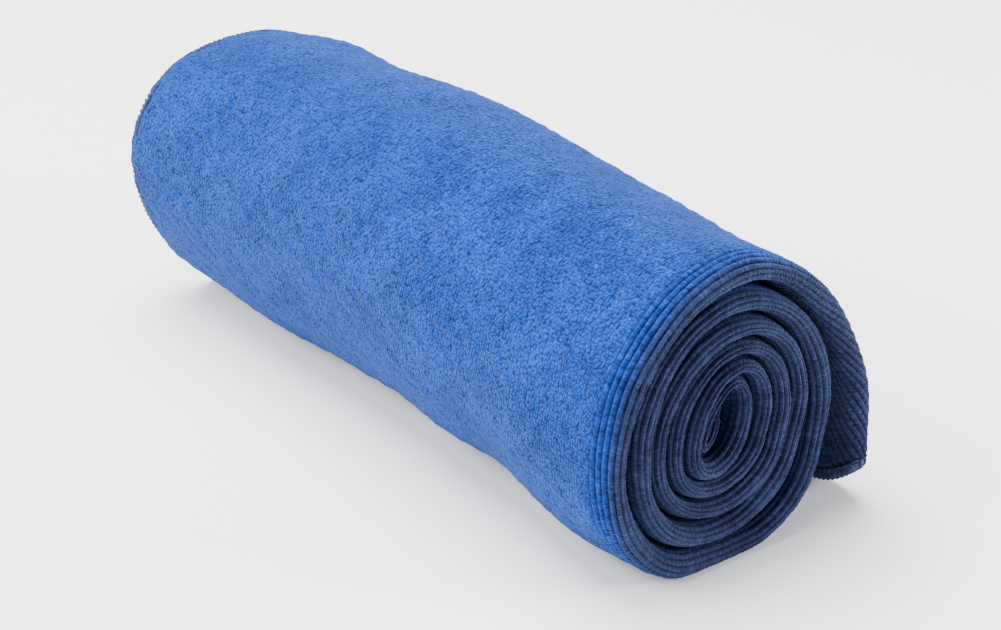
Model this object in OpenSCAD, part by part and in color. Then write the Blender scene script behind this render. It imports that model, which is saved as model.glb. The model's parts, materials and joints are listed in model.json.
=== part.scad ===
// Quick-dry terry towel, folded once along its length and rolled up.
// The roll lies on +Z up, its axis runs along Y, and the rounded fold is the end at -Y.
// The sheet's cut edges are overlocked: both long edges lie at the +Y end, one short edge
// is at the free end and the other is in the core.

/* [Sheet] */
// Width of the sheet laid flat; folded once, half of it is the roll's length
sheet_w = 500; // [400:10:600]
// Thickness of the doubled cloth in the loose outer turn
doubled_t = 8.3; // [7.5:0.1:8.5]
// Gap between the two layers of the folded sheet
layer_gap = 0.3; // [0.2:0.1:0.6]
// Least gap between one turn of the roll and the next
turn_gap = 0.6; // [0.5:0.1:0.8]

/* [Roll] */
// Radius of the roll under its free end, on the right
open_r = 41; // [40:0.5:43]
// Radius lost in the first turn towards the core
turn_pitch = 9.0; // [8.8:0.1:9.4]
// How much tighter each turn is wound than the one outside it
tighten = 0.44; // [0.38:0.02:0.46]
// Whole turn count from the right-hand side to the core, in degrees
core_angle = 1800; // [1620:9:1800]
// Height of the roll's centre above the surface that it lies on
centre_h = 47; // [46:0.5:48]
// Shift of the roll's centre from the middle of the towel's width
centre_x = -9.8; // [-12:0.1:-8]

/* [Free end] */
// Reach of the free end's tangent where it leaves the top of the roll
crest_reach = 31; // [26:1:34]
// Where the free end hangs, from the roll's centre
hang_x = 57.4; // [56:0.5:60]
// Height at which the free end turns to hang straight down
shoulder_h = 50; // [46:1:54]
// Height of the free end's edge above the surface that the roll lies on
tail_h = 10; // [8:0.5:14]

/* [Overlock] */
// Width of the overlocked edge
hem_w = 4; // [3:0.5:5]
// Part of a layer's thickness left where the thread pulls the pile down
hem_fill = 0.76; // [0.6:0.02:0.86]
// Part of a layer's thickness that is bare ground knit inside the thread
ground_fill = 0.3; // [0.2:0.02:0.4]
// Thickness of the thread over the cut edge
thread_t = 0.9; // [0.6:0.1:1.2]

/* [Hidden] */

// Side lean of each turn's outline: centre shift and ovality, as parts of its radius
shift_x = 0.048;
shift_z = -0.091;
oval_cos = -0.049;
oval_sin = -0.024;

roll_l = sheet_w / 2;
front_y = -roll_l / 2;
back_y = roll_l / 2;
fold_r = doubled_t / 2;
// Steps that make the rounded fold, and how far the layers run into its last step
nose_steps = 3;
nose_overlap = 0.5;
// How far the cutting strips reach past the band's faces and ends
face_reach = 0.15;
end_reach = 0.5;
// How far the channel in a long hem reaches into the cloth, and past the hem's ends
channel_reach = 1;
channel_over = 0.1;
// Free space at a hinge between one piece of the cloth and the next
hinge_gap = 0.3;
// How far the free end's edge swings back towards the roll below its shoulder
tail_in = 0.7;

// Stations along the rolled band, from the free end's edge to the core
flap_steps = 24;
turn_step = 9;
crest_angle = -270;
tail_hem_stations = 1;
core_hem_stations = 3;
upper_hinge = flap_steps;
middle_hinge = 18;
tail_hinge = 12;

// Outline of the roll's outer surface at winding angle a, measured inwards from +X
function turn_r(a) = open_r - turn_pitch * a / 360 + tighten * pow(a / 360, 2);
function outer_r(a) =
  turn_r(a) * (1 + shift_x * cos(a) + shift_z * sin(a) + oval_cos * cos(2 * a) + oval_sin * sin(2 * a));
// Where the outer turn would reach below the surface that the roll lies on, it is flattened
function lies_flat(a) = outer_r(a) * -sin(a) > centre_h;
function face_r(a) = lies_flat(a) ? -centre_h / sin(a) : outer_r(a);
function band_t(a) = min(doubled_t, face_r(a) - outer_r(a + 360) - turn_gap);
function mid_r(a) = face_r(a) - band_t(a) / 2;
function wound(a) = lies_flat(a)
  ? [centre_x + face_r(a) * cos(a), band_t(a) / 2]
  : [centre_x + mid_r(a) * cos(a), centre_h + mid_r(a) * sin(a)];

// Free end: one smooth curve from the crest of the roll down to its hanging edge
crest = wound(crest_angle);
crest_dir = crest - wound(crest_angle + turn_step);
crest_unit = crest_dir / norm(crest_dir);
curve = [
  crest,
  crest + crest_unit * crest_reach,
  [centre_x + hang_x, shoulder_h],
  [centre_x + hang_x - tail_in, tail_h]
];
function along(t) =
  pow(1 - t, 3) * curve[0] + 3 * pow(1 - t, 2) * t * curve[1]
  + 3 * (1 - t) * t * t * curve[2] + pow(t, 3) * curve[3];

path = concat(
  [for (i = [0 : flap_steps - 1]) along(1 - i / flap_steps)],
  [for (a = [crest_angle : turn_step : core_angle]) wound(a)]
);
thick = concat(
  [for (i = [0 : flap_steps - 1]) doubled_t],
  [for (a = [crest_angle : turn_step : core_angle]) band_t(a)]
);
last = len(path) - 1;

function heading(i) =
  let (d = path[min(i + 1, last)] - path[max(i - 1, 0)]) d / norm(d);
function resting(i) = i > flap_steps && lies_flat(crest_angle + (i - flap_steps) * turn_step);
function outward(i) = resting(i) ? [0, -1] : [heading(i)[1], -heading(i)[0]];
function at(i, off, slide) = path[i] + outward(i) * off + heading(i) * slide;

// Thickness of one layer, and the middle of a layer on side 1 (outer) or -1 (inner)
function layer_t(i) = (thick[i] - layer_gap) / 2;
function layer_mid(i, side) = side * (layer_gap + layer_t(i)) / 2;

// Strip of the band from station a to b; lo and hi give its faces for each station.
// cut_a and cut_b shorten its ends.
module strip(a, b, lo, hi, y0, y1, cut_a = 0, cut_b = 0) {
  points = concat(
    [for (i = [a : b]) at(i, hi(i), i == a ? cut_a : (i == b ? -cut_b : 0))],
    [for (i = [b : -1 : a]) at(i, lo(i), i == a ? cut_a : (i == b ? -cut_b : 0))]
  );
  translate([0, y1, 0]) rotate([90, 0, 0]) linear_extrude(height = y1 - y0) polygon(points);
}

// One layer of the band, as a part of its full thickness
module layer(a, b, side, fill, y0, y1, cut_a = 0, cut_b = 0) {
  strip(a, b,
    function (i) layer_mid(i, side) - fill * layer_t(i) / 2,
    function (i) layer_mid(i, side) + fill * layer_t(i) / 2,
    y0, y1, cut_a, cut_b);
}

// Rounded fold at the front, in steps: the part of the thickness left at the middle of step k
function fold_part(k, fill) =
  (1 + fill) / 2 * sqrt(1 - pow(1 - (2 * k + 1) / (2 * nose_steps), 2));

module fold(a, b, fill, y0) {
  for (k = [0 : nose_steps - 1]) {
    depth = (front_y + fold_r - y0) / nose_steps;
    strip(a, b,
      function (i) -fold_part(k, fill) * thick[i] / 2,
      function (i) fold_part(k, fill) * thick[i] / 2,
      y0 + k * depth, front_y + fold_r);
  }
}

// Folded cloth between two stations: the whole band, less the space round the fold,
// between the layers, and beside the bare ground knit where the long hems go
module cloth(a, b, cut_a = hinge_gap / 2, cut_b = hinge_gap / 2) {
  over_a = cut_a - end_reach;
  over_b = cut_b - end_reach;
  depth = fold_r / nose_steps;
  difference() {
    strip(a, b, function (i) -thick[i] / 2, function (i) thick[i] / 2,
      front_y, back_y - thread_t, cut_a, cut_b);
    strip(a, b, function (i) -layer_gap / 2, function (i) layer_gap / 2,
      front_y + fold_r, back_y, over_a, over_b);
    strip(a, b,
      function (i) ground_fill * layer_t(i) / 2 - layer_mid(i, 1),
      function (i) layer_mid(i, 1) - ground_fill * layer_t(i) / 2,
      back_y - hem_w, back_y, over_a, over_b);
    for (side = [-1, 1]) {
      shave(a, b, side, function (i) layer_mid(i, 1) + ground_fill * layer_t(i) / 2,
        back_y - hem_w, back_y, over_a, over_b);
      for (k = [0 : nose_steps - 1])
        shave(a, b, side, function (i) fold_part(k, 1) * thick[i] / 2,
          front_y - face_reach, front_y + (k + 1) * depth, over_a, over_b);
    }
  }
}

// Space beside the band on one side, from a depth in it to just clear of its face
module shave(a, b, side, from, y0, y1, cut_a, cut_b) {
  strip(a, b,
    function (i) side > 0 ? from(i) : -thick[i] / 2 - face_reach,
    function (i) side > 0 ? thick[i] / 2 + face_reach : -from(i),
    y0, y1, cut_a, cut_b);
}

// Thread over a long edge: a channel on the ground knit of one layer
module long_hem(a, b, side, cut_a = hinge_gap / 2, cut_b = hinge_gap / 2) {
  difference() {
    layer(a, b, side, hem_fill, back_y - hem_w, back_y, cut_a, cut_b);
    layer(a, b, side, ground_fill, back_y - hem_w - channel_reach, back_y - thread_t,
      cut_a - channel_over, cut_b - channel_over);
  }
}

// Thread over a short edge: both layers and round the fold
module short_hem(a, b) {
  fold(a, b, hem_fill, front_y + (1 - hem_fill) * fold_r / 2);
  for (side = [-1, 1])
    layer(a, b, side, hem_fill, front_y + fold_r - nose_overlap, back_y);
}

module rolled_cloth() color([0.20, 0.40, 0.72])
  cloth(upper_hinge, last - core_hem_stations, hinge_gap / 2, 0);
module flap_upper() color([0.24, 0.45, 0.78]) cloth(middle_hinge, upper_hinge);
module flap_middle() color([0.26, 0.48, 0.80]) cloth(tail_hinge, middle_hinge);
module flap_tail() color([0.28, 0.50, 0.82]) cloth(tail_hem_stations, tail_hinge, 0, hinge_gap / 2);
module tail_hem() color([0.10, 0.22, 0.50]) short_hem(0, tail_hem_stations);
module core_hem() color([0.10, 0.22, 0.50]) short_hem(last - core_hem_stations, last);

module edge_hem_roll(side) color([0.12, 0.26, 0.55])
  long_hem(upper_hinge, last - core_hem_stations, side, hinge_gap / 2, 0);
module edge_hem_upper(side) color([0.12, 0.26, 0.55]) long_hem(middle_hinge, upper_hinge, side);
module edge_hem_middle(side) color([0.12, 0.26, 0.55]) long_hem(tail_hinge, middle_hinge, side);
module edge_hem_tail(side) color([0.12, 0.26, 0.55])
  long_hem(tail_hem_stations, tail_hinge, side, 0, hinge_gap / 2);

rolled_cloth();
flap_upper();
flap_middle();
flap_tail();
tail_hem();
core_hem();
edge_hem_roll(1);  // outer_edge_hem_roll
edge_hem_upper(1);  // outer_edge_hem_upper
edge_hem_middle(1);  // outer_edge_hem_middle
edge_hem_tail(1);  // outer_edge_hem_tail
edge_hem_roll(-1);  // inner_edge_hem_roll
edge_hem_upper(-1);  // inner_edge_hem_upper
edge_hem_middle(-1);  // inner_edge_hem_middle
edge_hem_tail(-1);  // inner_edge_hem_tail
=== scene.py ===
import json
import math

import bpy
import numpy as np
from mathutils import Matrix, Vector


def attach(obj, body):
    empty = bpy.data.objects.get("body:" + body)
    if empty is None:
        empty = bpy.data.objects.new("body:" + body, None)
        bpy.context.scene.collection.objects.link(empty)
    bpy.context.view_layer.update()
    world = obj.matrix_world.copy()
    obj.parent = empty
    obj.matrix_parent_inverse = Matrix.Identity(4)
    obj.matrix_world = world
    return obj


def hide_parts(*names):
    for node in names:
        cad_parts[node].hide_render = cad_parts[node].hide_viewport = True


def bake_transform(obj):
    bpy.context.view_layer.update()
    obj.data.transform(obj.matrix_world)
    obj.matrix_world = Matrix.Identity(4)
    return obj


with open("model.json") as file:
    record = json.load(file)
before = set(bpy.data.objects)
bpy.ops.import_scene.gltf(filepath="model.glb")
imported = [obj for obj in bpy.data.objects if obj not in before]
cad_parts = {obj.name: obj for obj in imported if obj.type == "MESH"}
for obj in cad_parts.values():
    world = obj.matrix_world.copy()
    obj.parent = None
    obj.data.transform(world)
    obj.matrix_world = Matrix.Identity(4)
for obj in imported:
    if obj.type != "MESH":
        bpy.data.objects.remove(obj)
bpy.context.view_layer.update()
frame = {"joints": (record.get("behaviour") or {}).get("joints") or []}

# A sheet of terry cloth, folded once along its length and rolled up, with its free end hanging loose.
#
# Lengths are in millimetres until a mesh is built, and angles in degrees, unless a comment says otherwise.
# The roll lies along y, with the rounded fold at FRONT_Y and the cut long edges at BACK_Y. In every function:
#   s  is the distance along the sheet from the hanging edge, over the crest and round to the core
#   w  is the distance across the sheet from the fold's tip, above 0 on the outer face, below 0 on the inner
#   y  is the place along the roll
MM = 0.001

# ---------------------------------------------------------------- sizes, as in the CAD model
CENTRE_X = -9.8           # the winding's axis
CENTRE_H = 47.0
DOUBLED_T = 8.3           # thickness of the doubled cloth
LAYER_GAP = 0.3           # between its two layers
TURN_GAP = 0.6            # between one turn and the next
OPEN_R = 41.0             # radius at winding angle 0
TURN_PITCH = 9.0          # how much the radius falls in the first turn
TIGHTEN = 0.44            # how much slower it falls further in
SHIFT_X = 0.048           # the outline's lean and ovalness, as shares of its radius
SHIFT_Z = -0.091
OVAL_COS = -0.049
OVAL_SIN = -0.024
CREST_ANGLE = -270.0      # winding angle where the free end leaves the roll
CORE_ANGLE = 1800.0       # winding angle at the core
TURN_STEP = 9.0           # winding angle between two of the CAD model's points
CREST_REACH = 31.0        # how far the free end is drawn straight on from the crest
HANG_X = 57.4             # how far from the axis it hangs
SHOULDER_H = 50.0         # height that its shoulder is drawn to
TAIL_IN = 0.7             # how far its edge leans back towards the roll
TAIL_H = 10.0             # height of its edge
FRONT_Y = -125.0
BACK_Y = 125.0
FOLD_R = 4.15             # how far the rounded fold reaches along the roll
HEM_W = 4.0               # width of the overlock

FOLD_Y = FRONT_Y + FOLD_R
QUARTER = math.pi / 2 * math.sqrt((FOLD_R ** 2 + (DOUBLED_T / 2) ** 2) / 2)     # fold's tip to flat cloth


# ---------------------------------------------------------------- small helpers
def ramp(v, start, end):
    """0 at start, 1 at end, straight between and level beyond. v may fall from start to end."""
    return np.clip((v - start) / (end - start), 0, 1)


def eased(a):
    """a, which goes from 0 to 1, with a soft start and end."""
    return a * a * (3 - 2 * a)


def bell(v, centre, width):
    return np.exp(-0.5 * ((v - centre) / width) ** 2)


def swell(s, waves_along):
    """Sum of waves along the sheet, each given as its size, length and phase."""
    return sum(size * np.sin(2 * math.pi * s / length + phase) for size, length, phase in waves_along)


def turn_between(angle, centre):
    """Angle between two directions, 0 to 180."""
    return np.abs((angle - centre + 180) % 360 - 180)


# ---------------------------------------------------------------- path of the rolled sheet
STEP = 0.25               # spacing of the path's samples
SMOOTH = 1.2              # spread that the path is averaged over
OUTER_SMOOTH = 3.84       # the same on the outer turn and the free end
OUTER_SMOOTH_TO = 330.0   # the outer turn's smoothing ends this far past the crest
SMOOTH_BLEND = 60.0       # the length over which one smoothing becomes the other
HANG_SAMPLES = 500
WINDING = np.arange(CREST_ANGLE, CORE_ANGLE + 0.1, 0.5)


def outer_r(a):
    """Radius of the winding's outer face at winding angle a."""
    t = np.radians(a)
    turn = a / 360
    r = OPEN_R - TURN_PITCH * turn + TIGHTEN * turn ** 2
    return r * (1 + SHIFT_X * np.cos(t) + SHIFT_Z * np.sin(t)
                + OVAL_COS * np.cos(2 * t) + OVAL_SIN * np.sin(2 * t))


def wound(a):
    """Middle of the band and its thickness at winding angle a. The outer turn lies flat on the floor."""
    a = np.asarray(a, float)
    t = np.radians(a)
    face = outer_r(a)
    flat = face * -np.sin(t) > CENTRE_H
    face = np.where(flat, -CENTRE_H / np.where(flat, np.sin(t), 1), face)
    band = np.minimum(DOUBLED_T, face - outer_r(a + 360) - TURN_GAP)
    mid = face - band / 2
    x = CENTRE_X + np.where(flat, face, mid) * np.cos(t)
    z = np.where(flat, band / 2, CENTRE_H + mid * np.sin(t))
    return np.stack([x, z], -1), band


def smoothed(values, spread):
    """values along the path, averaged over spread, with straight run-outs at both ends."""
    k = int(4 * spread / STEP)
    kernel = bell(np.arange(-k, k + 1) * STEP, 0, spread)
    kernel /= kernel.sum()
    ahead = np.arange(k, 0, -1)[:, None]
    start = values[0] - ahead * (values[1] - values[0])
    end = values[-1] + ahead[::-1] * (values[-1] - values[-2])
    padded = np.concatenate([start, values, end])
    return np.stack([np.convolve(c, kernel, "valid") for c in padded.T], -1)


def make_path():
    """The band's middle and thickness every STEP from the hanging edge to the core, then the s of the crest,
    and the s of each angle in WINDING."""
    crest, _ = wound(CREST_ANGLE)
    nearby, _ = wound(CREST_ANGLE + TURN_STEP)
    onward = (crest - nearby) / np.linalg.norm(crest - nearby)
    pull = [crest,
            crest + onward * CREST_REACH,
            np.array([CENTRE_X + HANG_X, SHOULDER_H]),
            np.array([CENTRE_X + HANG_X - TAIL_IN, TAIL_H])]
    t = np.linspace(1, 0, HANG_SAMPLES)[:-1, None]
    hanging = ((1 - t) ** 3 * pull[0] + 3 * (1 - t) ** 2 * t * pull[1]
               + 3 * (1 - t) * t * t * pull[2] + t ** 3 * pull[3])
    turns, band = wound(WINDING)
    points = np.concatenate([hanging, turns])
    thick = np.concatenate([np.full(len(hanging), DOUBLED_T), band])
    s = np.concatenate([[0], np.cumsum(np.linalg.norm(np.diff(points, axis=0), axis=1))])
    crest_s = s[len(hanging)]
    even = np.arange(0, s[-1], STEP)
    raw = np.stack([np.interp(even, s, c) for c in (points[:, 0], points[:, 1], thick)], -1)
    outer_end = crest_s + OUTER_SMOOTH_TO
    outer = ramp(even, outer_end, outer_end - SMOOTH_BLEND)[:, None]
    path = smoothed(raw, SMOOTH) * (1 - outer) + smoothed(raw, OUTER_SMOOTH) * outer
    return even, path, crest_s, s[len(hanging):]


PATH_S, PATH, CREST_S, WINDING_S = make_path()
LENGTH = PATH_S[-1]
TANGENT = np.gradient(PATH[:, :2], axis=0)
TANGENT /= np.linalg.norm(TANGENT, axis=1)[:, None]


def path_at(s):
    """x, z and thickness of the band at s, and its direction in x and z."""
    x, z, t, tx, tz = (np.interp(s, PATH_S, c) for c in
                       (PATH[:, 0], PATH[:, 1], PATH[:, 2], TANGENT[:, 0], TANGENT[:, 1]))
    n = np.hypot(tx, tz)
    return x, z, t, tx / n, tz / n


def s_at_angle(a):
    return float(np.interp(a, WINDING, WINDING_S))


def nearest_s(x, z, last):
    """s of the path point nearest to x, z, of those up to last."""
    n = int(last / STEP)
    return float(PATH_S[np.argmin((PATH[:n, 0] - x) ** 2 + (PATH[:n, 1] - z) ** 2)])


SHADE_S = s_at_angle(-38)                # the roll's outside passes under the free end here
LOOP_S = s_at_angle(90) - CREST_S        # once round the roll from the crest

# ---------------------------------------------------------------- soft shape of the whole roll
# How far the outline is pushed out, in which direction and over what spread of angle, and where along the
# roll and over what spread, with 0 at the fold and 1 at the cut edges
SETTLE = [
    (-2.5, 230, 36, 0.27, 0.06),
    (-2.8, 230, 36, 0.48, 0.07),
    (-1.1, 228, 34, 0.62, 0.05),
    (1.9, 230, 30, 0.12, 0.05),
    (1.0, 228, 34, 0.77, 0.07),
    (0.4, 225, 30, 0.95, 0.06),
    (4.6, 55, 34, 0.54, 0.18),
    (1.9, 55, 30, 0.87, 0.05),
    (-1.0, 62, 28, 1.02, 0.05),
    (-1.8, 98, 22, 1.02, 0.07),
    (5.6, 161, 34, 1.02, 0.14),
    (2.4, 318, 26, 0.00, 0.16),
    (-1.0, 50, 22, 0.10, 0.05),
    (0.4, 26, 12, 0.00, 0.07),
    (-2.3, -26, 10, 0.00, 0.12),
]
STILL_R = 8.0             # the settling starts at this radius
SETTLE_R = 42.0           # and has its full size at this one
SETTLE_MOST = 1.3         # it may grow to this share of it outside that
OVAL_TILT = math.radians(64)
OVAL_R = 17.0             # the inner turns are oval inside about this radius
OVAL_LONG = 0.38          # how much longer they are one way, and how much shorter the other
OVAL_SHORT = 0.12
SLOT_R = 8.5              # the core is pressed nearly shut inside about this radius
SLOT_SHUT = 0.38
FLOOR_CLEAR = 0.02        # least height over the floor, and its growth with the height before settling
BACK_SLIDE = 3.5          # how far the back end slides out
BACK_SLIDE_FROM = 0.72    # where along the roll that starts
BACK_SLIDE_AT = 165       # its direction and spread
BACK_SLIDE_SPREAD = 45
HANG_TOP, HANG_FULL = 62.0, 12.0     # heights where the hanging end's own shape starts and is complete
HANG_FROM_X, HANG_FULL_X = 33.0, 39.0
CORNER_CURL = 2.0         # how far the hanging corner at the fold curls up, and how far along the roll
CORNER_CURL_Y = 3.0
EDGE_DROP = 9.4           # how far the edge behind it hangs down, and how far along the roll that takes
EDGE_DROP_Y = 9.5
EDGE_DROP_POWER = 1.5
EDGE_DROP_LOSS = 0.5      # share of the drop that is gone at the far end


def relax(p):
    """Points p, moved as loosely rolled cloth settles."""
    x, y, z = p[..., 0], p[..., 1], p[..., 2]
    dx, dz = x - CENTRE_X, z - CENTRE_H
    r = np.hypot(dx, dz) + 1e-9
    angle = np.degrees(np.arctan2(dz, dx))
    depth = np.clip((r - STILL_R) / (SETTLE_R - STILL_R), 0, SETTLE_MOST)
    along = (y - FRONT_Y) / (BACK_Y - FRONT_Y)
    out = np.zeros_like(r)
    for amount, at_angle, spread, at_y, y_spread in SETTLE:
        out += amount * bell(turn_between(angle, at_angle), 0, spread) * bell(along, at_y, y_spread)
    k = 1 + out * depth / r
    core = np.exp(-(r / OVAL_R) ** 2)
    slot = np.exp(-(r / SLOT_R) ** 2)
    cos_tilt, sin_tilt = math.cos(OVAL_TILT), math.sin(OVAL_TILT)
    long_way = (dx * cos_tilt + dz * sin_tilt) * (1 + OVAL_LONG * core)
    short_way = (dz * cos_tilt - dx * sin_tilt) * (1 - OVAL_SHORT * core - SLOT_SHUT * slot)
    q = p.copy()
    q[..., 0] = CENTRE_X + (long_way * cos_tilt - short_way * sin_tilt) * k
    settled_z = CENTRE_H + (long_way * sin_tilt + short_way * cos_tilt) * k
    q[..., 2] = np.maximum(settled_z, FLOOR_CLEAR * z + FLOOR_CLEAR)
    back = np.clip((along - BACK_SLIDE_FROM) / (1 - BACK_SLIDE_FROM), 0, 1.1) ** 2
    q[..., 1] = y + BACK_SLIDE * back * bell(turn_between(angle, BACK_SLIDE_AT), 0, BACK_SLIDE_SPREAD) * depth
    hanging = ramp(z, HANG_TOP, HANG_FULL) ** 2 * ramp(x, HANG_FROM_X, HANG_FULL_X)
    behind = np.maximum(y - FRONT_Y, 0)
    curl = CORNER_CURL * np.exp(-behind / CORNER_CURL_Y)
    drop = EDGE_DROP * (1 - np.exp(-(behind / EDGE_DROP_Y) ** EDGE_DROP_POWER)) * (1 - EDGE_DROP_LOSS * along)
    q[..., 2] += hanging * (curl - drop)
    return q


# ---------------------------------------------------------------- ribs and pile
FACE_OUT = 0.12           # how far the pile stands out from the band's nominal face
LOOP = 1.0                # spacing of the pile's loops on flat cloth
BEAD = 1.4                # spacing of the loops along a rib
RIB = 2.1                 # spacing of the ribs where the fold spreads them
RIB_SPREAD = 11.6         # distance from the fold's tip over which they are spread
RIB_REACH = 8.6           # distance from the fold's tip over which the pile lies in ribs
RIB_REACH_FREE = 4.6      # how much further that is on the free end's inner face
FREE_REACH_S = (78, 58)   # it grows between these s
RIB_REACH_OUT = 2.9       # how much further on the roll's outside
OUT_REACH_S = (62, 82)
OUT_REACH_FADE = 20       # it is gone over this distance, once round from the crest
RIB_HEIGHT = 1.35         # a rib's height
RIB_SINK = 1.15           # how far its foot lies under the flat cloth's face
RIB_NARROW = 3.8          # how fast it falls off to its sides
BEAD_SHARE = 0.06         # share of its height in its loops
BEAD_WANDER = 0.6         # how far the loops' spacing wanders, of the waves below
FLAT_EDGE = 0.9           # distance over which ribs become flat cloth
FUZZ = 0.1                # random height of single points
SLANT_FROM = 80.0         # the hanging end's ribs run slantwise from this s on
SLANT_EASE = 26.0         # they turn over this distance
SLANT = 0.42              # and then go this far round the fold for each millimetre
FOLD_PRESS = 0.20         # share by which the fold is thinner than the cloth behind it
FOLD_PRESS_Y = 9.0        # how far along the roll that reaches
SLIDE_Y = 30.0            # how far the sliding of the turns reaches
CORE_SINK = 7.0           # how far the sheet's end in the core sinks into the roll
CORE_SINK_S = 30.0        # it starts this far from the sheet's end
CORE_SINK_EASE = 28.0
CORE_SINK_POWER = 1.5

# Waves along the sheet, each as its size, length and phase in radians
PRESS_WAVES = ((0.11, 89, 2.0), (0.06, 41, 0.5))     # in the fold's thickness, as a share of it
SLIDE_WAVES = ((0.9, 131, 0.6), (0.15, 71, 2.1))     # in how far the turns slide along the roll
ROW_WAVES = ((0.08, 61, 1.0), (0.04, 23, 2.0))       # in the place of the pile rows, in rows

BEAD_WAVES = ((0.22, 7.3, 3), (0.2, 17.1, 7))        # their phase is for each unit of a row's own shift

# Uneven pile: size, then the number of waves, the shortest and longest, and the seed
PILE_FIELDS = ((0.16, 9, 3.2, 9.0, 5), (0.30, 7, 22, 70, 6))


def waves(u, v, count, shortest, longest, seed):
    """Smooth random field over u and v, about -1 to 1."""
    r = np.random.default_rng(seed)
    total = np.zeros(np.broadcast(u, v).shape)
    for _ in range(count):
        length = r.uniform(shortest, longest)
        d = r.uniform(0, 2 * math.pi)
        total += np.sin(2 * math.pi * (u * math.cos(d) + v * math.sin(d)) / length
                        + r.uniform(0, 2 * math.pi))
    return total / math.sqrt(count)


def scattered(n):
    """A random-looking number for each n, from -1 to 1."""
    return np.modf(np.sin(n) * 43758.5453)[0]


def wale(w):
    """Count of pile rows from the fold's tip to w. The rows are wider apart on the fold."""
    a = np.abs(w)
    on_fold = a / RIB
    on_flat = RIB_SPREAD / RIB + (a - RIB_SPREAD) / LOOP
    return np.sign(w) * np.where(a < RIB_SPREAD, on_fold, on_flat)


def drift(s):
    """Sideways wander of the pile rows, in rows. On the hanging end they run slantwise round the fold."""
    down = np.maximum(SLANT_FROM - s, 0)
    slant = np.where(down < SLANT_EASE, down ** 2 / (2 * SLANT_EASE), down - SLANT_EASE / 2)
    return swell(s, ROW_WAVES) - SLANT * slant / RIB


def tapered(s, y):
    """Share of the band's thickness at y. The fold is thinner than the cloth behind it."""
    press = FOLD_PRESS + swell(s, PRESS_WAVES)
    return 1 - press * np.exp(-(y - FRONT_Y) / FOLD_PRESS_Y)


def telescope(s, y):
    """How far the sheet slides into the roll at its fold: turns in and out of line, and the core sunk."""
    sunk = CORE_SINK * np.clip((s - LENGTH + CORE_SINK_S) / CORE_SINK_EASE, 0, 1) ** CORE_SINK_POWER
    return (sunk - swell(s, SLIDE_WAVES)) * np.exp(-(y - FRONT_Y) / SLIDE_Y)


def rib_reach(s, w):
    """Distance from the fold's tip over which the pile lies in ribs."""
    free_end = RIB_REACH_FREE * ramp(s, *FREE_REACH_S)
    round_once = CREST_S + LOOP_S
    outside = RIB_REACH_OUT * ramp(s, *OUT_REACH_S) * ramp(s, round_once, round_once - OUT_REACH_FADE)
    return RIB_REACH + np.where(w < 0, free_end, outside)


def relief(s, w):
    """Height of the pile over the band's face: ribs of loops on the fold, uneven pile elsewhere."""
    on_fold = 1 / (1 + np.exp((np.abs(w) - rib_reach(s, w)) / FLAT_EDGE))
    k = wale(w) + drift(s)
    row = np.round(k)
    shift = scattered(row * 12.9898) % 1.0
    crown = np.sqrt(np.maximum(0, 1 - RIB_NARROW * (k - row) ** 2))
    wander = sum(size * np.sin(2 * math.pi * (s / length + shift * phase))
                 for size, length, phase in BEAD_WAVES)
    bead = 0.5 + 0.5 * np.cos(2 * math.pi * (s / BEAD + shift + wander * BEAD_WANDER))
    ribs = RIB_HEIGHT * crown * (1 - BEAD_SHARE + BEAD_SHARE * bead) - RIB_SINK
    pile = sum(size * waves(s, w, *field) for size, *field in PILE_FIELDS)
    return FACE_OUT + on_fold * ribs + (1 - on_fold) * pile


# ---------------------------------------------------------------- profile of the folded cloth
EDGE_Y = [BACK_Y - inward for inward in (4.2, 3.4, 2.4, 1.3, 0.7, 0.45)]     # columns at the cut edges
LINING_COLUMNS = 13
EDGE_PRESS_Y = BACK_Y - HEM_W - 0.9      # the thread over the cut edge presses the pile down from here
EDGE_PRESS_EASE = 1.3
EDGE_PRESS = 0.42                        # share of a layer's thickness that it takes away
EDGE_ROUND_Y = BACK_Y - 1.6              # the edge is rounded off from here
EDGE_ROUND_R = 1.2
EDGE_ROUND_LEAST = 0.06
SHORT_PRESS = 0.26                       # the same on the short edges
SHORT_PRESS_S = HEM_W * 0.9
SHORT_PRESS_EASE = 2.2


def edge_fill(y):
    """Share of a layer's thickness left at y."""
    if y < EDGE_PRESS_Y:
        return 1.0
    down = min(1.0, (y - EDGE_PRESS_Y) / EDGE_PRESS_EASE)
    tip = max(0.0, (y - EDGE_ROUND_Y) / EDGE_ROUND_R)
    return (1.0 - EDGE_PRESS * eased(down)) * math.sqrt(max(EDGE_ROUND_LEAST, 1 - tip * tip))


def short_edge_fill(s):
    """Share of the band's thickness left at s, beside the thread on the short edges."""
    start = eased(ramp(s, SHORT_PRESS_S, SHORT_PRESS_S + SHORT_PRESS_EASE))
    end = eased(ramp(s, LENGTH - SHORT_PRESS_S, LENGTH - SHORT_PRESS_S - SHORT_PRESS_EASE))
    return (1 - SHORT_PRESS + SHORT_PRESS * start) * (1 - SHORT_PRESS + SHORT_PRESS * end)


def face_column(w, side):
    """Column on the outer (side 1) or inner (side -1) face, at distance w from the fold's tip."""
    if w < QUARTER:
        phi = w / QUARTER * math.pi / 2
        share = side * math.sin(phi)
        return (share, 0.0, FOLD_Y - FOLD_R * math.cos(phi), side * w, share, -math.cos(phi), 1.0)
    y = FOLD_Y + w - QUARTER
    fill = edge_fill(y)
    return (side * (1 + fill) / 2, side * LAYER_GAP / 4 * (1 - fill), y, side * w, side * 1.0, 0.0, 1.0)


def lining_column(y, side):
    """Column on the hidden face between the layers."""
    fill = edge_fill(y)
    w = side * (QUARTER + y - FOLD_Y)
    return (side * (1 - fill) / 2, side * LAYER_GAP / 4 * (1 + fill), y, w, -side * 1.0, 0.0, 0.0)


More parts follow.
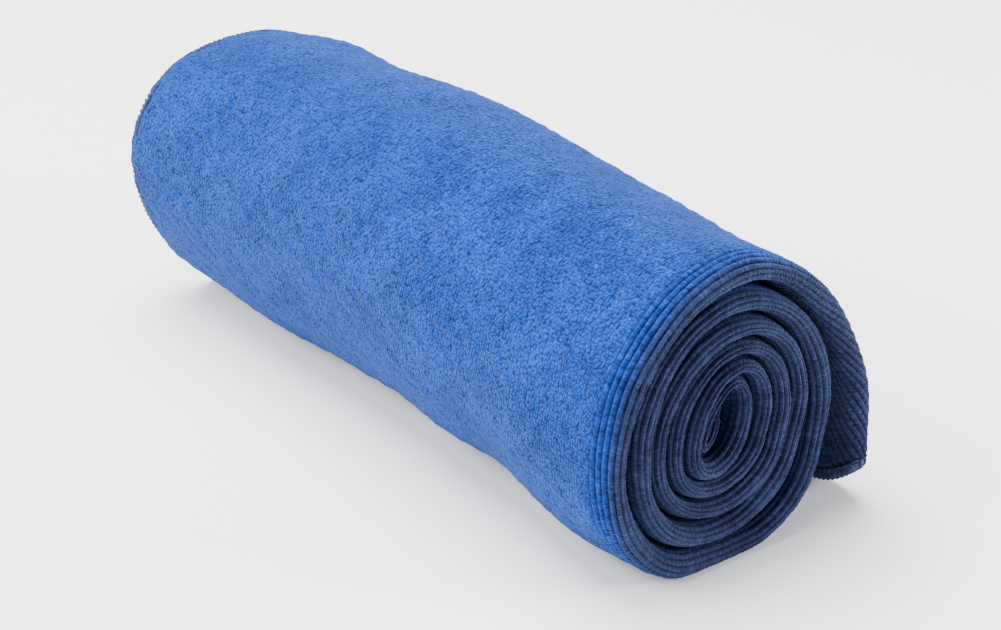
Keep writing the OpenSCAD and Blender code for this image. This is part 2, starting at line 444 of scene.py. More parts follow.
def profile(outer_cell, inner_cell, nose_reach):
    """The doubled cloth's closed outline, as the columns of the fold's nose and then those from it round the
    cut edges and back. A column is its distance from the band's middle, as a share of half the band's
    thickness and a fixed part, its y and w, the outward direction there, and 1 where it has pile."""
    fine_cell = RIB / 5
    reach = int(round(nose_reach / fine_cell))
    nose_w = np.arange(-reach, reach + 1) * fine_cell
    nose = [face_column(abs(w), 1 if w >= 0 else -1) for w in nose_w]
    first_w = nose_w[-1]
    last_w = QUARTER + (BACK_Y - HEM_W - 1.0) - FOLD_Y

    def face(cell, side):
        n = max(2, int(round((last_w - first_w) / cell)))
        flat = list(np.linspace(first_w, last_w, n + 1)[1:])
        edge = [QUARTER + y - FOLD_Y for y in EDGE_Y]
        return [face_column(w, side) for w in flat + edge]

    lining_y = EDGE_Y[::-1] + list(np.linspace(BACK_Y - HEM_W - 1, FOLD_Y, LINING_COLUMNS))
    lining = [lining_column(y, 1) for y in lining_y] + [lining_column(y, -1) for y in lining_y[::-1]]
    return np.array(nose), np.array(face(outer_cell, 1) + lining + face(inner_cell, -1)[::-1])


# ---------------------------------------------------------------- marks that the terry material reads: painted shade, and where the pile lies in ribs
PAINTED_SHADE_W = (4.0, 6.8)                # painted shade darkens the gap between two turns this far from the fold's tip
PAINTED_SHADE_FADE_W = (44.0, 18.0)         # and brightens again over these, deeper in
FOLD_SHADE_FADE = 5.5                     # distance over which the fold's painted shade fades out
FOLD_SHADE_END = 0.9                      # it ends this far past the ribs, and further where they reach further
LIT_W = (8.5, 1.0)                  # on the roll's lit outside the painted shade fades out from the fold's tip outwards
SHADE_EASE = 22                     # the free end's shade starts over this distance
LIT_FROM_S = 48                    # the roll's lit outside starts between here and a little before the crest
LIT_BEFORE_CREST = 8
UNDER_FLAP = 0.4                    # share of the painted shade just under the free end, a painted shadow
UNDER_FLAP_EASE = 20
NEAR_ROLL_S = (45, 75)              # the free end's inner face nears the roll between these s, and takes the full painted shade
HANGING_W = 9                       # where it hangs clear its painted shade grows from this w, over this distance,
HANGING_EASE = 8
HANGING_SHADE = (0.1, 0.5)          # and lies between these shares
RIBBED_EDGE = (1.9, -1.1)           # the ribs' mark ends this far past and before their reach


def in_open(s):
    """1 where the outer face is the roll's lit outside, where the fold's painted shade is lifted; 0 on the
    hanging end and under it.
    """
    starts = eased(ramp(s, LIT_FROM_S, CREST_S - LIT_BEFORE_CREST))
    return starts * eased(ramp(s, SHADE_S, SHADE_S - SHADE_EASE))


def pinched(s, w):
    """Painted shade, 0 to 1: deep between two turns, less just under the free end, and some on the free end's
    inner face.
    """
    depth = eased(ramp(np.abs(w), *PAINTED_SHADE_W) * ramp(np.abs(w), *PAINTED_SHADE_FADE_W))
    past_first_turn = s - (CREST_S + LOOP_S)
    covered = (ramp(s, SHADE_S - SHADE_EASE, SHADE_S)
               * np.clip(UNDER_FLAP + past_first_turn / UNDER_FLAP_EASE, UNDER_FLAP, 1))
    hanging = np.clip((np.abs(w) - HANGING_W) / HANGING_EASE, *HANGING_SHADE)
    near_roll = np.maximum(ramp(s, *NEAR_ROLL_S), hanging)
    return depth * np.where(w > 0, covered, near_roll)


def opened(s, w):
    """Painted shade on the fold's face, 0 to 1; on the roll's lit outside it is kept only near the fold's
    tip.
    """
    reach = np.where(w < 0, rib_reach(s, w), RIB_REACH)
    end = reach + FOLD_SHADE_END * (1 + reach - RIB_REACH)
    spread = ramp(np.abs(w), end, end - FOLD_SHADE_FADE)
    lit = spread * ramp(w, *LIT_W)
    return eased(spread + (lit - spread) * in_open(s))


def ribbed(s, w):
    """1 where the pile lies in ribs, on and beside the fold, and 0 on flat cloth."""
    past, before = RIBBED_EDGE
    return ramp(np.abs(w), rib_reach(s, w) + past, rib_reach(s, w) + before)


MARKS = (pinched, opened, ribbed)


# ---------------------------------------------------------------- meshes of the cloth
NOSE_STATIONS = 3          # stations on the fold's nose for each one on the rest
NORMAL_STEP = 1.2          # distance along the sheet over which its slope is measured
UV_SCALE = 100             # loops for each unit of the UV map


def grid_points(s, cols):
    """Points for stations s (rows) and profile columns."""
    s = np.asarray(s, float)[:, None]
    share, fixed, y, w, n_out, n_y, has_pile = cols.T[:, None, :]
    x, z, t, tx, tz = path_at(s)
    lift = (relief(s, w) + FUZZ * scattered(s * 12.9898 + w * 78.233)) * has_pile
    off = share * tapered(s, y) * t * short_edge_fill(s) / 2 + fixed + lift * n_out
    return relax(np.stack([x + tz * off, y + lift * n_y + telescope(s, y), z - tx * off], -1))


def grid_with_normals(s, cols, before, after):
    """Points and outward directions for stations s and profile columns, between two neighbouring columns."""
    ends = np.concatenate([[s[0] - NORMAL_STEP], s, [s[-1] + NORMAL_STEP]])
    wide = grid_points(ends, np.concatenate([before, cols, after]))
    along = wide[2:, 1:-1] - wide[:-2, 1:-1]
    across = wide[1:-1, 2:] - wide[1:-1, :-2]
    n = np.cross(across, along)
    return wide[1:-1, 1:-1], n / (np.linalg.norm(n, axis=-1, keepdims=True) + 1e-12)


def grid_quads(n, m, at, closed=False):
    """Faces between neighbours in a grid of n rows and m columns. at(i, j) is a point's number."""
    i, j = np.meshgrid(np.arange(n - 1), np.arange(m if closed else m - 1), indexing="ij")
    k = (j + 1) % m
    return np.stack([at(i, j), at(i + 1, j), at(i + 1, k), at(i, k)], -1).reshape(-1, 4)


def ring_faces(n, nose_cols, rest_cols):
    """Quads, triangles and end caps of a length of folded cloth with n steps along it. The nose has
    NOSE_STATIONS stations to each step, and triangles join it to the rest."""
    base = (NOSE_STATIONS * n + 1) * nose_cols

    def nose(i, j):
        return i * nose_cols + j

    def rest(i, j):
        return base + i * rest_cols + j

    i = np.arange(n)
    k = NOSE_STATIONS * i
    a, b = nose_cols - 1, rest_cols - 1
    quads = [
        grid_quads(NOSE_STATIONS * n + 1, nose_cols, nose),
        grid_quads(n + 1, rest_cols, rest),
        np.stack([nose(k + 1, a), nose(k + 2, a), rest(i + 1, 0), rest(i, 0)], -1),
        np.stack([rest(i, b), rest(i + 1, b), nose(k + 2, 0), nose(k + 1, 0)], -1),
    ]
    tris = [
        np.stack([nose(k, a), nose(k + 1, a), rest(i, 0)], -1),
        np.stack([nose(k + 2, a), nose(k + 3, a), rest(i + 1, 0)], -1),
        np.stack([rest(i, b), nose(k + 1, 0), nose(k, 0)], -1),
        np.stack([rest(i + 1, b), nose(k + 3, 0), nose(k + 2, 0)], -1),
    ]
    all_nose, all_rest = np.arange(nose_cols), np.arange(rest_cols)
    first = np.concatenate([nose(0, all_nose), rest(0, all_rest)])[::-1]
    last = np.concatenate([nose(NOSE_STATIONS * n, all_nose), rest(n, all_rest)])
    return np.concatenate(quads), np.concatenate(tris), [first, last]


def ring_mesh(name, s0, s1, fine_step, outer_cell, inner_cell, nose_reach):
    """One length of the folded cloth, from s0 to s1, as a closed mesh."""
    n = max(3, int(round((s1 - s0) / (NOSE_STATIONS * fine_step))))
    nose_s = np.linspace(s0, s1, NOSE_STATIONS * n + 1)
    rest_s = nose_s[::NOSE_STATIONS]
    nose, rest = profile(outer_cell, inner_cell, nose_reach)
    nose_grid = grid_with_normals(nose_s, nose, rest[-1:], rest[:1])
    rest_grid = grid_with_normals(rest_s, rest, nose[-1:], nose[:1])
    points, normals = (np.concatenate([a.reshape(-1, 3), b.reshape(-1, 3)])
                       for a, b in zip(nose_grid, rest_grid))
    places = [(nose_s[:, None], nose[None, :, 3]), (rest_s[:, None], rest[None, :, 3])]
    uv = np.concatenate([np.stack(np.broadcast_arrays(s / LOOP, wale(w) + drift(s)), -1).reshape(-1, 2)
                         for s, w in places]) / UV_SCALE
    marks = {mark.__name__: np.concatenate([mark(s, w).ravel() for s, w in places]) for mark in MARKS}
    return build(name, points, *ring_faces(n, len(nose), len(rest)), uv, marks, normals)


def vertex_normals(me):
    n = np.empty(len(me.vertices) * 3, np.float32)
    me.vertex_normals.foreach_get("vector", n)
    return n.reshape(-1, 3)


def build(name, points, quads, tris, caps, uv, marks=None, normals=None):
    """Mesh object from arrays in millimetres, its faces turned to look outwards."""
    p = points - points.mean(0)
    a, b, c, d = (p[quads[:, n]] for n in range(4))
    volume = np.einsum("ij,ij->i", a, np.cross(b, c) + np.cross(c, d)).sum()
    if volume < 0:
        quads = quads[:, ::-1]
        tris = tris[:, ::-1]
        caps = [cap[::-1] for cap in caps]
    index = np.concatenate([quads.reshape(-1), tris.reshape(-1)] + caps).astype(np.int32)
    sizes = np.concatenate([np.full(len(quads), 4), np.full(len(tris), 3), [len(cap) for cap in caps]])
    starts = np.concatenate([[0], np.cumsum(sizes)[:-1]]).astype(np.int32)
    me = bpy.data.meshes.new(name)
    me.vertices.add(len(points))
    me.vertices.foreach_set("co", (points * MM).astype(np.float32).ravel())
    me.loops.add(len(index))
    me.loops.foreach_set("vertex_index", index)
    me.polygons.add(len(sizes))
    me.polygons.foreach_set("loop_start", starts)
    me.update(calc_edges=True)
    layer = me.uv_layers.new(name="Cloth")
    layer.data.foreach_set("uv", uv[index].astype(np.float32).ravel())
    for word, values in (marks or {}).items():
        mark = me.attributes.new(word, "FLOAT", "POINT")
        mark.data.foreach_set("value", values.astype(np.float32))
    me.shade_smooth()
    if normals is not None:
        if np.einsum("ij,ij->i", normals, vertex_normals(me)).sum() < 0:
            normals = -normals
        me.normals_split_custom_set_from_vertices(normals)
    obj = bpy.data.objects.new(name, me)
    bpy.context.scene.collection.objects.link(obj)
    return obj


# ---------------------------------------------------------------- overlock thread
STITCH = 1.7              # length of a stitch
THREAD_R = 0.36
THREAD_SIDES = 5
PER_STITCH = 12           # points of the winding thread in a stitch
PER_CHAIN_STITCH = 8      # points of a chain thread in a stitch
PRESSED = 0.60            # share of a layer's thickness left inside the thread
PAD_SHARE = 0.52          # and in the pad, which fills the thread
WRAP_SQUARE = 0.35        # how square the winding thread lies, from 0, round, to 1
WRAP_SIZE = 0.96
PAD_SQUARE = 0.7
PAD_SIDES = 12
PAD_STEP = 1.5            # spacing of the pad's rings on the flat edge
PAD_BENDS = 13            # rings round the fold
CHAIN_R = THREAD_R * 0.85
CHAIN_LIFT = 0.7          # how high a chain lies on the face, in THREAD_R
FACE_WAVE = 0.12          # how far the chains wave off the face, along the needle line and at the rim
NEEDLE_WAVE = 0.22
RIM_WAVE = 0.1
RIM_SWING = 0.45          # share of the half thickness that the rim chain swings over
NEEDLE_IN = 0.5           # the needle line lies this far from the overlock's inner side
END_Y = BACK_Y - 0.6      # where the thread on a short edge ends


def tube(centre, ref, radius, sides):
    """Round thread along centre, an N by 3 array, with ref roughly across it at each point."""
    t = np.gradient(centre, axis=0)
    t /= np.linalg.norm(t, axis=1)[:, None]
    u = ref - (ref * t).sum(1)[:, None] * t
    u /= np.linalg.norm(u, axis=1)[:, None] + 1e-12
    v = np.cross(t, u)
    ang = np.arange(sides) / sides * 2 * math.pi
    ring = (np.cos(ang)[None, :, None] * u[:, None, :] + np.sin(ang)[None, :, None] * v[:, None, :]) * radius
    run = np.concatenate([[0], np.cumsum(np.linalg.norm(np.diff(centre, axis=0), axis=1))])
    return tube_part((centre[:, None, :] + ring).reshape(-1, 3), run, np.arange(sides) / sides)


def tube_part(points, run, around):
    """Points in rings, with the quads, caps and UVs of a closed tube."""
    n, sides = len(run), len(around)
    quads = grid_quads(n, sides, lambda i, j: i * sides + j, closed=True)[:, [0, 3, 2, 1]]
    caps = [np.arange(sides), (n - 1) * sides + np.arange(sides)[::-1]]
    uv = np.stack(np.broadcast_arrays(run[:, None], around[None, :]), -1).reshape(-1, 2) / UV_SCALE
    return points, quads, caps, uv


def joined(name, parts):
    """One object from several tubes."""
    points, quads, caps, uvs, at = [], [], [], [], 0
    for part_points, part_quads, part_caps, part_uv in parts:
        points.append(part_points)
        quads.append(part_quads + at)
        caps += [cap + at for cap in part_caps]
        uvs.append(part_uv)
        at += len(part_points)
    no_tris = np.zeros((0, 3), int)
    return build(name, np.concatenate(points), np.concatenate(quads), no_tris, caps, np.concatenate(uvs))


def rounded_square(phi, squareness):
    """Two coordinates, about -1 to 1, on a round shape drawn out towards a square."""
    size = np.maximum(np.abs(np.cos(phi)), np.abs(np.sin(phi))) ** squareness
    return np.cos(phi) / size, np.sin(phi) / size


def band_point(s, off, y):
    """Settled point at distance s, offset off from the band's middle, and y."""
    x, z, _, tx, tz = path_at(s)
    return relax(np.stack([x + tz * off, y + telescope(s, y), z - tx * off], -1))


def layer_t(s):
    """Thickness of one of the band's two layers at s."""
    return (path_at(s)[2] - LAYER_GAP) / 2


def chains(a0, a1, place, half_t, inner_line, rim):
    """Looper thread from a0 to a1 along an edge: a wavy thread on the rim, and one on each face along the
    needle line. place(a, off, across) gives a point, off from the layer's middle."""
    n = max(16, int((a1 - a0) / STITCH * PER_CHAIN_STITCH))
    a = np.linspace(a0, a1, n)
    phase = 2 * math.pi * a / STITCH
    half = half_t(a)
    on_face = half + THREAD_R * CHAIN_LIFT + FACE_WAVE * np.cos(phase)
    needle_line = inner_line + NEEDLE_WAVE * np.sin(phase)
    rim_line = rim + RIM_WAVE * np.cos(2 * phase)
    rows = [(np.sin(phase) * half * RIM_SWING, rim_line), (on_face, needle_line), (-on_face, needle_line)]
    middle = place(a, np.zeros(n), np.full(n, (inner_line + rim) / 2))
    lines = [place(a, off, across) for off, across in rows]
    return [tube(line, line - middle, CHAIN_R, THREAD_SIDES) for line in lines]


def long_edge_thread(name, s0, s1, side):
    """Overlock on the cut long edge of the outer (side 1) or inner (side -1) layer, from s0 to s1."""
    def place(s, off, y):
        return band_point(s, side * (LAYER_GAP + layer_t(s)) / 2 + off, y)

    def pressed_half(s):
        return layer_t(s) * 0.5 * PRESSED

    n = max(24, int((s1 - s0) / STITCH * PER_STITCH))
    s = np.linspace(s0, s1, n)
    across, inward = rounded_square(2 * math.pi * s / STITCH, WRAP_SQUARE)
    mid_y, half_y = BACK_Y - HEM_W / 2 - 0.2, HEM_W / 2 - THREAD_R - 0.05
    half_t = pressed_half(s) + THREAD_R * 0.55
    wrap = place(s, half_t * across * WRAP_SIZE, mid_y + half_y * inward * WRAP_SIZE)
    centre = place(s, np.zeros(n), np.full(n, mid_y))
    parts = [tube(wrap, wrap - centre, THREAD_R, THREAD_SIDES)]
    parts += chains(s0, s1, place, pressed_half, BACK_Y - HEM_W + NEEDLE_IN, BACK_Y - 0.35)
    return joined(name, parts)


def short_edge_thread(name, rim_s, direction):
    """Overlock on a short edge, round both layers and the fold. direction is 1 where the cloth lies at
    greater s than rim_s, or else -1."""
    layer = float(layer_t(rim_s + direction * 2))
    mid_r = (LAYER_GAP + layer) / 2
    pressed_half = layer * 0.5 * PRESSED
    tip = (FOLD_R - 0.35) / (mid_r + pressed_half + THREAD_R * 1.1)      # how far the fold is drawn out
    arc = math.pi * mid_r * math.sqrt((1 + tip * tip) / 2)
    straight = END_Y - FOLD_Y
    total = 2 * straight + arc

    def place(d, off, across):
        """Point at distance d along the edge from the inner layer's end, off from the layer's middle, and
        across from the rim into the cloth."""
        d = np.asarray(d, float)
        on_inner, on_outer = d < straight, d > straight + arc
        phi = np.clip((d - straight) / arc, 0, 1) * math.pi
        n_out = np.where(on_inner, -1.0, np.where(on_outer, 1.0, -np.cos(phi)))
        n_y = np.where(on_inner | on_outer, 0.0, -np.sin(phi))
        y = np.where(on_inner, END_Y - d, np.where(on_outer, FOLD_Y + d - straight - arc, FOLD_Y))
        r = mid_r + off
        return band_point(rim_s + direction * (across + 0 * d), n_out * r, y + n_y * r * tip)

    n = int(total / STITCH * PER_STITCH)
    d = np.linspace(0, total, n)
    off, inward = rounded_square(2 * math.pi * d / STITCH, WRAP_SQUARE)
    half_t, half_s, mid_s = pressed_half + THREAD_R * 0.5, HEM_W / 2 - THREAD_R, HEM_W / 2
    wrap = place(d, half_t * off * WRAP_SIZE, mid_s - half_s * inward * WRAP_SIZE)
    centre = place(d, np.zeros(n), np.full(n, mid_s))
    leg = np.arange(0.2, straight, PAD_STEP)
    pad_d = np.concatenate([leg, np.linspace(straight, straight + arc, PAD_BENDS), total - leg[::-1]])
    parts = [tube(wrap, wrap - centre, THREAD_R, THREAD_SIDES)]
    parts += chains(0, total, place, lambda a: np.full(len(a), pressed_half), HEM_W - NEEDLE_IN, 0.15)
    parts.append(pad(place, pad_d, layer * 0.5 * PAD_SHARE))
    return joined(name, parts)


def pad(place, d, half_t):
    """The pressed edge of the cloth inside the thread, as a flattened tube with rings at distances d."""
    n = len(d)
    around = np.arange(PAD_SIDES) / PAD_SIDES * 2 * math.pi
    lines = []
    for off, inward in zip(*rounded_square(around, PAD_SQUARE)):
        lines.append(place(d, np.full(n, half_t * off), np.full(n, HEM_W * (0.55 - 0.45 * inward))))
    return tube_part(np.stack(lines, 1).reshape(-1, 3), d, around)


# ---------------------------------------------------------------- materials
# Colours are linear red, green and blue, from the ground between the loops, partly painted shade, to their
# tops
PILE_OUTSIDE = ((0.0048, 0.0085, 0.042), (0.0006, 0.057, 0.390))     # close pile
FOLD_SHADE_PILE = ((0.0125, 0.017, 0.048), (0.025, 0.034, 0.096))        # painted shade of the fold's face
STRAND = ((0.009, 0.018, 0.070), (0.020, 0.042, 0.160))
STRAND_SHADE = (0.006, 0.011, 0.040)
PAPER = (0.93, 0.93, 0.93)

# Each loop is a cell, strayed from a square grid. Scales are in cells or waves for each loop
CELL_SCALE, CELL_RANDOM = 1.05, 0.65
STRAY_SCALE, STRAY = 0.8, (1.2, 1.2, 0)
LOOP_FALL = 1.25                     # how steeply a loop falls off to its sides
FLUFF_SCALE = 0.95
PATCH_SCALE, MOTTLE_SCALE = 0.055, 0.30
GROOVE_ROWS = (0.22, 0.5)            # painted shade in a groove grows over these distances from its rib's middle

# What shades the pile: gain and base for each
LOOP_TONE = (0.36, 0.82)             # each loop's own tone
PATCH_TONE = (0.80, 0.60)
MOTTLE_TONE = (0.90, 0.55)
FLUFF_TONE = (1.20, 0.37)
# painted shade between the turns, under the free end and on its inner face
PAINTED_SHADE_TONE = (-0.72, 1.0)
GROOVE_SHADE_DEPTH = (-0.34, 0.88)         # painted shade in the ribs' grooves, less where the fold's face has its own painted shade

# On the ribs this share of a pattern is lost, and this much is added to what is left
EVEN_HEIGHT = (0.45, 0.15)
EVEN_FLUFF = (0.4, 0.20)
EVEN_BUMP = 0.65


def new_material(name):
    m = bpy.data.materials.new(name)
    m.use_nodes = True
    return m, m.node_tree, m.node_tree.nodes["Principled BSDF"]


def put(nt, value, socket):
    """value, which is a number, a colour or another node's output, goes into socket."""
    if isinstance(value, (int, float)):
        socket.default_value = value
    elif isinstance(value, tuple):
        socket.default_value = (*value, 1)
    else:
        nt.links.new(value, socket)


def maths(nt, operation, *values, clamp=False):
    node = nt.nodes.new("ShaderNodeMath")
    node.operation = operation
    node.use_clamp = clamp
    for value, socket in zip(values, node.inputs):
        put(nt, value, socket)
    return node.outputs[0]


def level(nt, value, gain, base, clamp=False):
    """value times gain, plus base."""
    return maths(nt, "MULTIPLY_ADD", value, gain, base, clamp=clamp)


def product(nt, first, *others):
    for other in others:
        first = maths(nt, "MULTIPLY", first, other)
    return first


def scaled(nt, vector, factor):
    node = nt.nodes.new("ShaderNodeVectorMath")
    node.operation = "SCALE"
    put(nt, vector, node.inputs[0])
    put(nt, factor, node.inputs["Scale"])
    return node.outputs[0]


def mixed(nt, factor, a, b):
    node = nt.nodes.new("ShaderNodeMix")
    node.data_type = "RGBA"
    for value, socket in ((factor, node.inputs[0]), (a, node.inputs[6]), (b, node.inputs[7])):
        put(nt, value, socket)
    return node.outputs[2]


def smooth_range(nt, value, low, high):
    node = nt.nodes.new("ShaderNodeMapRange")
    node.interpolation_type = "SMOOTHSTEP"
    node.inputs["From Min"].default_value = low
    node.inputs["From Max"].default_value = high
    put(nt, value, node.inputs["Value"])
    return node.outputs[0]


def noise(nt, at, scale, detail=2, output="Fac"):
    node = nt.nodes.new("ShaderNodeTexNoise")
    node.noise_dimensions = "2D"
    node.inputs["Scale"].default_value = scale
    node.inputs["Detail"].default_value = detail
    put(nt, at, node.inputs["Vector"])
    return node.outputs[output]


def cloth_uv(nt):
    """The UV map, in pile loops along the sheet and rows across it."""
    node = nt.nodes.new("ShaderNodeUVMap")
    node.uv_map = "Cloth"
    return node.outputs[0]


def mark_on(nt, name):
    node = nt.nodes.new("ShaderNodeAttribute")
    node.attribute_name = name
    return node.outputs["Fac"]


def bump(nt, height, strength, distance):
    """A normal from height; distance is in metres."""
    node = nt.nodes.new("ShaderNodeBump")
    node.inputs["Strength"].default_value = strength
    node.inputs["Distance"].default_value = distance
    put(nt, height, node.inputs["Height"])
    return node.outputs[0]


def loop_cells(nt, loops):
    """Height of each loop, 0 to 1, and its own tone, from cells strayed a little off their grid."""
    stray = nt.nodes.new("ShaderNodeVectorMath")
    stray.operation = "MULTIPLY_ADD"
    put(nt, noise(nt, loops, STRAY_SCALE, output="Color"), stray.inputs[0])
    stray.inputs[1].default_value = STRAY
    put(nt, loops, stray.inputs[2])
    cells = nt.nodes.new("ShaderNodeTexVoronoi")
    cells.voronoi_dimensions = "2D"
    cells.feature = "F1"
    cells.inputs["Scale"].default_value = CELL_SCALE
    cells.inputs["Randomness"].default_value = CELL_RANDOM
    put(nt, stray.outputs[0], cells.inputs["Vector"])
    tone = nt.nodes.new("ShaderNodeSeparateColor")
    put(nt, cells.outputs["Color"], tone.inputs[0])
    return level(nt, cells.outputs["Distance"], -LOOP_FALL, 1.0, clamp=True), tone.outputs[0]


def evened(nt, pattern, ribbed_mark, lost, added):
    """pattern, which shows less on the ribs."""
    return maths(nt, "ADD", product(nt, pattern, level(nt, ribbed_mark, -lost, 1.0)),
                 product(nt, ribbed_mark, added))


def terry_material():
    m, nt, bsdf = new_material("terry")
    loops = scaled(nt, cloth_uv(nt), UV_SCALE)
    height, tone = loop_cells(nt, loops)
    painted_fold_shade_mark, ribbed_mark, painted_shade_mark = (mark_on(nt, word) for word in ("opened", "ribbed", "pinched"))
    row = nt.nodes.new("ShaderNodeSeparateXYZ")
    put(nt, loops, row.inputs[0])
    across_row = maths(nt, "FRACT", maths(nt, "ADD", row.outputs[1], 100.5))
    from_rib = maths(nt, "ABSOLUTE", maths(nt, "SUBTRACT", across_row, 0.5))
    painted_groove = smooth_range(nt, from_rib, *GROOVE_ROWS)
    fluff = noise(nt, loops, FLUFF_SCALE)
    # the loops' heights also set their colour: their darker ground is partly the pile's own pattern and
    # partly painted shade between the loops
    even_height = evened(nt, height, ribbed_mark, *EVEN_HEIGHT)
    even_fluff = evened(nt, fluff, ribbed_mark, *EVEN_FLUFF)
    # painted shade on the fold's face: where that mark is 1 the pile takes the second, darker pair of colours
    pile = mixed(nt, painted_fold_shade_mark, mixed(nt, even_height, *PILE_OUTSIDE), mixed(nt, even_height, *FOLD_SHADE_PILE))
    groove_shade_depth = level(nt, painted_fold_shade_mark, *GROOVE_SHADE_DEPTH)
    shade = product(
        nt,
        level(nt, tone, *LOOP_TONE),
        level(nt, noise(nt, loops, PATCH_SCALE), *PATCH_TONE),
        level(nt, noise(nt, loops, MOTTLE_SCALE), *MOTTLE_TONE),
        level(nt, even_fluff, *FLUFF_TONE),
        # painted shade between the turns and under the free end
        level(nt, painted_shade_mark, *PAINTED_SHADE_TONE),
        # painted shade in the grooves between ribs
        level(nt, product(nt, ribbed_mark, painted_groove, groove_shade_depth), -1.0, 1.0),
    )
    put(nt, scaled(nt, pile, shade), bsdf.inputs["Base Color"])
    bsdf.inputs["Roughness"].default_value = 0.95
    bsdf.inputs["Specular IOR Level"].default_value = 0.10
    bsdf.inputs["Sheen Weight"].default_value = 0.15
    bsdf.inputs["Sheen Roughness"].default_value = 0.40
    bsdf.inputs["Sheen Tint"].default_value = (0.40, 0.62, 1.0, 1)
    loop_height = product(nt, height, level(nt, ribbed_mark, -EVEN_BUMP, 1.0))
    relief_height = maths(nt, "ADD", loop_height, product(nt, fluff, 0.9))
    put(nt, bump(nt, relief_height, 0.8, 0.0006), bsdf.inputs["Normal"])
    return m


def thread_material():
    m, nt, bsdf = new_material("overlock_thread")
    uv = cloth_uv(nt)
    twist = nt.nodes.new("ShaderNodeTexWave")
    twist.wave_type = "BANDS"
    twist.bands_direction = "DIAGONAL"
    twist.inputs["Scale"].default_value = 160
    twist.inputs["Distortion"].default_value = 1.5
    put(nt, uv, twist.inputs["Vector"])
    fluff = noise(nt, scaled(nt, uv, UV_SCALE), 0.7)
    strand = mixed(nt, twist.outputs["Fac"], *STRAND)
    put(nt, mixed(nt, smooth_range(nt, fluff, 0.30, 0.66), STRAND_SHADE, strand), bsdf.inputs["Base Color"])
    bsdf.inputs["Roughness"].default_value = 0.62
    bsdf.inputs["Specular IOR Level"].default_value = 0.3
    bsdf.inputs["Sheen Weight"].default_value = 0.10
    bsdf.inputs["Sheen Tint"].default_value = (0.45, 0.60, 1.0, 1)
    relief_height = maths(nt, "ADD", product(nt, twist.outputs["Fac"], 0.3), fluff)
    put(nt, bump(nt, relief_height, 0.7, 0.0004), bsdf.inputs["Normal"])
    return m


# ---------------------------------------------------------------- pieces
TERRY = terry_material()
THREAD = thread_material()
PARTS = {      # each length of the free end: its hinge, and the bodies on the roll's side and on the edge's
    "upper": ("peel_upper", "roll", "upper_flap"),
    "middle": ("peel_middle", "upper_flap", "middle_flap"),
    "tail": ("peel_tail", "middle_flap", "tail_flap"),
}
HINGES = {joint["name"]: Vector(joint["pos_m"]) for joint in frame["joints"]}
HINGE_S = {}
for part, (hinge, _, _) in PARTS.items():
    HINGE_S[part] = nearest_s(HINGES[hinge].x / MM, HINGES[hinge].z / MM, CREST_S + 10)
CUT_GAP = 0.8              # unbent cloth beside each cut
BEND = min(HINGE_S["upper"] - HINGE_S["middle"], HINGE_S["middle"] - HINGE_S["tail"]) / 2 - CUT_GAP
CREST_CUT = HINGE_S["upper"] + BEND + CUT_GAP
UPPER_CUT = (HINGE_S["upper"] + HINGE_S["middle"]) / 2
MIDDLE_CUT = (HINGE_S["middle"] + HINGE_S["tail"]) / 2
OUTER_END = s_at_angle(103)
SPANS = {
    "upper": (UPPER_CUT, CREST_CUT),
    "middle": (MIDDLE_CUT, UPPER_CUT),
    "tail": (SHORT_PRESS_S, MIDDLE_CUT),
}
SIDES = {"outer": 1, "inner": -1}


def dress(obj, material, stands_for):
    obj.data.materials.append(material)
    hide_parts(stands_for)
    return obj


def bend(obj, part):
    """obj's transform is baked into its mesh; the part's hinge and its direction are looked up but obj is not
    turned.
    """
    hinge, before, after = PARTS[part]
    _, _, _, tx, tz = path_at(HINGE_S[part])
    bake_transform(obj)


core = ring_mesh("roll_inner_turns", OUTER_END, LENGTH - SHORT_PRESS_S, 0.50, 9.0, 9.0, 10.1)
outer = ring_mesh("roll_outer_turn", CREST_CUT, OUTER_END, 0.45, 1.35, 6.0, 12.6)
for obj in (core, outer):
    dress(obj, TERRY, "rolled_cloth")
    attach(obj, "roll")
cloth = {}
for part, (s0, s1) in SPANS.items():
    cloth[part] = dress(ring_mesh("free_end_" + part, s0, s1, 0.45, 1.35, 1.8, 15.0),
                        TERRY, "flap_" + part)
    bend(cloth[part], part)

hems = {"roll": [], "upper": [], "middle": [], "tail": []}
for word, side in SIDES.items():
    roll_hem = long_edge_thread(word + "_edge_thread_roll", CREST_CUT, LENGTH, side)
    dress(roll_hem, THREAD, word + "_edge_hem_roll")
    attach(roll_hem, "roll")
    hems["roll"].append(roll_hem)
    for part, (s0, s1) in SPANS.items():
        hem = long_edge_thread(f"{word}_edge_thread_{part}", 0.0 if part == "tail" else s0, s1, side)
        dress(hem, THREAD, f"{word}_edge_hem_{part}")
        bend(hem, part)
        hems[part].append(hem)
tail_hem = dress(short_edge_thread("tail_edge_thread", 0.0, 1), THREAD, "tail_hem")
bend(tail_hem, "tail")
hems["tail"].append(tail_hem)
core_hem = dress(short_edge_thread("core_edge_thread", LENGTH, -1), THREAD, "core_hem")
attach(core_hem, "roll")


# ---------------------------------------------------------------- floor, light and camera, in metres
FLOOR_HALF = 6.0


def area_light(name, at, target, size, power, colour):
    light = bpy.data.lights.new(name, "AREA")
    light.shape = "DISK"
    light.size = size
    light.energy = power
    light.color = colour
    obj = bpy.data.objects.new(name, light)
    aim(obj, Vector(at), Vector(target) - Vector(at))


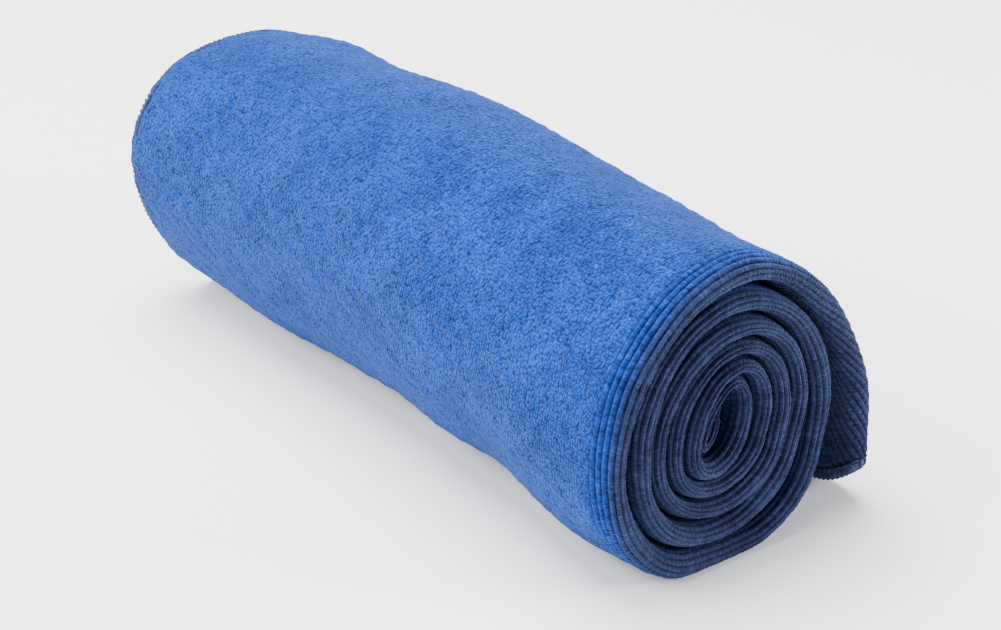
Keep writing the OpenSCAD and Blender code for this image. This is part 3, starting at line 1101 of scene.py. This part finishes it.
def aim(obj, at, along):
    """obj is put at a place and looks along a direction."""
    obj.location = at
    obj.rotation_mode = "QUATERNION"
    obj.rotation_quaternion = along.to_track_quat("-Z", "Y")
    bpy.context.scene.collection.objects.link(obj)


floor_mesh = bpy.data.meshes.new("floor")
floor_corners = [(-FLOOR_HALF, -FLOOR_HALF, 0), (FLOOR_HALF, -FLOOR_HALF, 0),
                 (FLOOR_HALF, FLOOR_HALF, 0), (-FLOOR_HALF, FLOOR_HALF, 0)]
floor_mesh.from_pydata(floor_corners, [], [(0, 1, 2, 3)])
floor = bpy.data.objects.new("floor", floor_mesh)
bpy.context.scene.collection.objects.link(floor)
paper, _, paper_bsdf = new_material("paper")
paper_bsdf.inputs["Base Color"].default_value = (*PAPER, 1)
paper_bsdf.inputs["Roughness"].default_value = 0.9
floor_mesh.materials.append(paper)

area_light("key", (-1.2, 0.35, 1.0), (0, 0, 0.04), 1.0, 42, (1.0, 0.99, 0.97))
area_light("fill", (0.9, -1.0, 0.5), (0.02, -0.12, 0.03), 0.6, 24, (0.97, 0.98, 1.0))
area_light("top", (0.0, 0.5, 1.7), (0, 0, 0.04), 1.8, 115, (0.98, 0.99, 1.0))

world = bpy.data.worlds.new("studio")
bpy.context.scene.world = world
world.use_nodes = True
background = world.node_tree.nodes["Background"]
background.inputs["Color"].default_value = (1, 1, 1, 1)
background.inputs["Strength"].default_value = 0.55

CAMERA_TURN = math.radians(37.6)        # from looking along the roll towards its side
CAMERA_TILT = math.radians(26.8)        # down from level
CAMERA_DISTANCE = 0.584
CAMERA_TARGET = Vector((0.01025, 0, 0.023))
camera_along = Vector((math.sin(CAMERA_TURN) * math.cos(CAMERA_TILT),
                       math.cos(CAMERA_TURN) * math.cos(CAMERA_TILT),
                       -math.sin(CAMERA_TILT)))
lens = bpy.data.cameras.new("camera")
lens.lens = 64.2
lens.sensor_width = 36
lens.clip_start = 0.01
lens.clip_end = 30
camera = bpy.data.objects.new("camera", lens)
aim(camera, CAMERA_TARGET - camera_along * CAMERA_DISTANCE, camera_along)
bpy.context.scene.camera = camera
